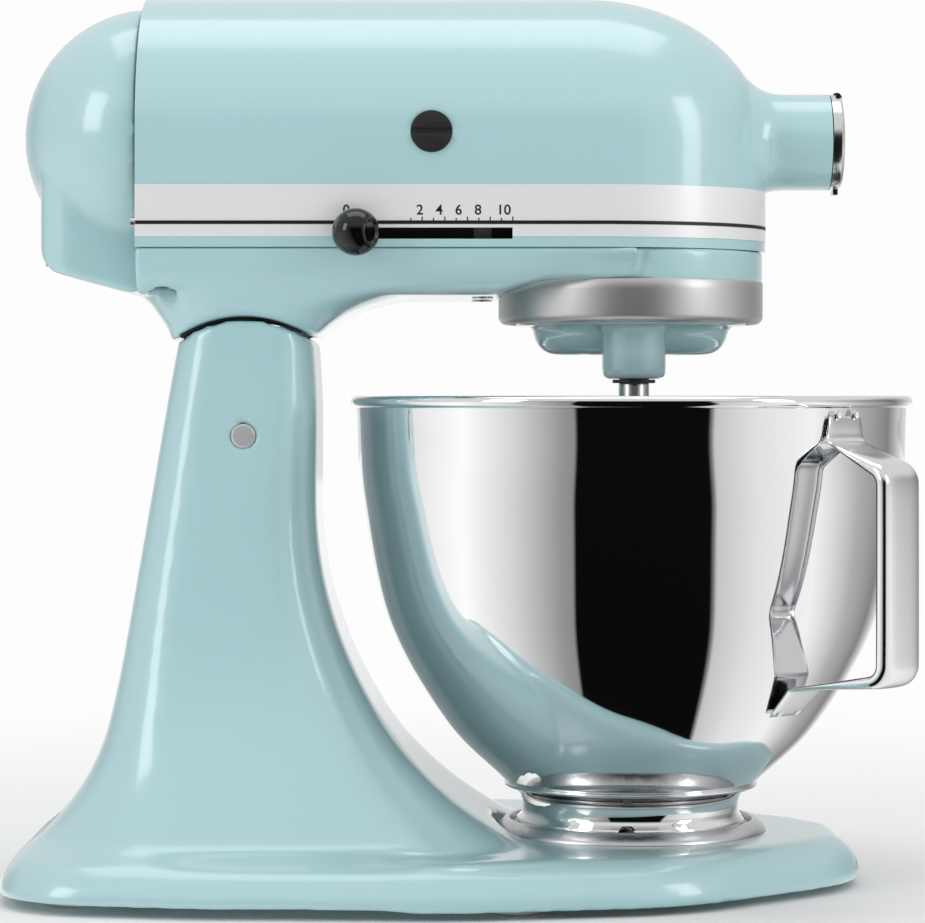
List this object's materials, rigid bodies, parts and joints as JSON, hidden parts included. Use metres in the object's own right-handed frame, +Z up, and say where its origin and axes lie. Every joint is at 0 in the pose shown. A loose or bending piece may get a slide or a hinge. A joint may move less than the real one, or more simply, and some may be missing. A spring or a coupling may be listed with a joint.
{
  "type": "tilt-head stand mixer",
  "caption": "Tilt-head kitchen stand mixer: pedestal, hinged motor head, planetary drive, steel mixing bowl and attachment hub.",
  "frame": {"origin": "on the surface it stands on, under the middle of the whole object", "axes": "+Z up, +X towards the front of the head, -Y the side with the speed lever"},
  "size_m": [0.3623, 0.2264, 0.355],
  "materials": {
    "enamel": "gloss",
    "brushed_steel": "satin",
    "trim_satin": "satin",
    "bowl_steel": "polished",
    "chrome": "polished",
    "shaft_steel": "satin",
    "gear_steel": "satin",
    "worm_bronze": "satin",
    "motor_iron": "matte",
    "copper_winding": "satin",
    "cast_bracket": "matte",
    "black_gloss": "gloss",
    "black_matte": "matte",
    "brass": "satin",
    "rubber": "matte"
  },
  "bodies": {
    "pedestal": {"pedestal": "enamel", "rubber_feet": "rubber", "bowl_clamp_plate": "brushed_steel", "clamp_plate_screws": "brushed_steel", "hinge_pin": "brushed_steel", "hinge_pin_set_screw": "brushed_steel"},
    "head": {"upper_housing": "enamel", "lower_gearcase": "enamel", "rear_cover": "enamel", "rear_cover_screw": "brushed_steel", "trim_band": "trim_satin", "trim_band_screws": "brushed_steel", "gearcase_screws": "brushed_steel", "centre_shaft_bush": "worm_bronze", "cord_inlet_bush": "black_matte", "hub_sleeve": "brushed_steel", "hub_cover_hinge": "brushed_steel", "drip_ring": "brushed_steel", "ring_gear": "gear_steel", "hub_bearing": "worm_bronze", "armature_bearings": "shaft_steel", "front_bearing_bracket": "cast_bracket", "rear_bearing_bracket": "cast_bracket", "worm_bracket": "cast_bracket", "stator_core": "motor_iron", "field_windings": "copper_winding", "brush_holders": "brass", "carbon_brushes": "black_matte", "brush_springs": "brass", "brush_caps": "black_gloss", "speed_control_guide": "black_matte"},
    "lock_lever": {"head_lock_lever": "brushed_steel", "head_lock_knob": "black_gloss"},
    "speed_control": {"speed_lever": "black_matte", "speed_knob": "black_gloss"},
    "bowl": {"bowl": "bowl_steel", "bowl_foot": "bowl_steel", "bowl_handle": "bowl_steel"},
    "hub_cover": {"hub_cover": "chrome"},
    "attachment_screw": {"attachment_thumbscrew": "brushed_steel", "attachment_knob": "black_gloss"},
    "planetary": {"planetary": "enamel", "centre_shaft": "shaft_steel", "centre_gear": "gear_steel", "bevel_gear": "gear_steel"},
    "beater_drive": {"beater_shaft": "shaft_steel", "beater_drive_pin": "brushed_steel", "beater_shaft_washer": "black_matte", "planet_pinion": "gear_steel"},
    "counter_drive": {"counter_shaft": "shaft_steel", "counter_pinion": "gear_steel", "worm_wheel": "worm_bronze"},
    "armature": {"armature_shaft": "shaft_steel", "worm": "gear_steel", "armature_core": "motor_iron", "commutator": "worm_bronze", "fan": "black_matte"},
    "hub_drive": {"hub_drive_shaft": "shaft_steel", "bevel_pinion": "gear_steel"}
  },
  "joints": [
    {"name": "head_tilt", "type": "hinge", "parent": "pedestal", "child": "head", "pos_m": [-0.0857, 0, 0.1793], "axis": [0, -1, 0], "range_deg": [0, 45]},
    {"name": "head_lock", "type": "slide", "parent": "pedestal", "child": "lock_lever", "axis": [1, 0, 0], "range_m": [0, 0.018]},
    {"name": "bowl_twist", "type": "hinge", "parent": "pedestal", "child": "bowl", "pos_m": [0.068, 0, 0.0217], "axis": [0, 0, 1], "range_deg": [0, 25]},
    {"name": "speed_select", "type": "slide", "parent": "head", "child": "speed_control", "axis": [1, 0, 0], "range_m": [0, 0.057]},
    {"name": "hub_cover_flip", "type": "hinge", "parent": "head", "child": "hub_cover", "pos_m": [0.1512, 0, 0.3154], "axis": [0, -1, 0], "range_deg": [0, 110]},
    {"name": "attachment_screw_turn", "type": "hinge", "parent": "head", "child": "attachment_screw", "pos_m": [0.135, 0.03, 0.2975], "axis": [0, 1, 0], "range_deg": [0, 360]},
    {"name": "planetary_turn", "type": "hinge", "parent": "head", "child": "planetary", "pos_m": [0.068, 0, 0.22], "axis": [0, 0, 1], "continuous": true},
    {"name": "beater_spin", "type": "hinge", "parent": "planetary", "child": "beater_drive", "pos_m": [0.068, -0.027, 0.22], "axis": [0, 0, 1], "continuous": true},
    {"name": "counter_shaft_turn", "type": "hinge", "parent": "head", "child": "counter_drive", "pos_m": [0.03378, 0.0252, 0.263], "axis": [0, 0, 1], "continuous": true},
    {"name": "armature_turn", "type": "hinge", "parent": "head", "child": "armature", "pos_m": [0, 0, 0.2975], "axis": [1, 0, 0], "continuous": true},
    {"name": "hub_drive_turn", "type": "hinge", "parent": "head", "child": "hub_drive", "pos_m": [0.1, 0, 0.2975], "axis": [1, 0, 0], "continuous": true}
  ],
  "couplings": [
    {"joint": "beater_spin", "follows": "planetary_turn", "ratio": -2.8},
    {"joint": "counter_shaft_turn", "follows": "planetary_turn", "ratio": -3},
    {"joint": "armature_turn", "follows": "planetary_turn", "ratio": 78},
    {"joint": "hub_drive_turn", "follows": "planetary_turn", "ratio": 1.7333}
  ]
}
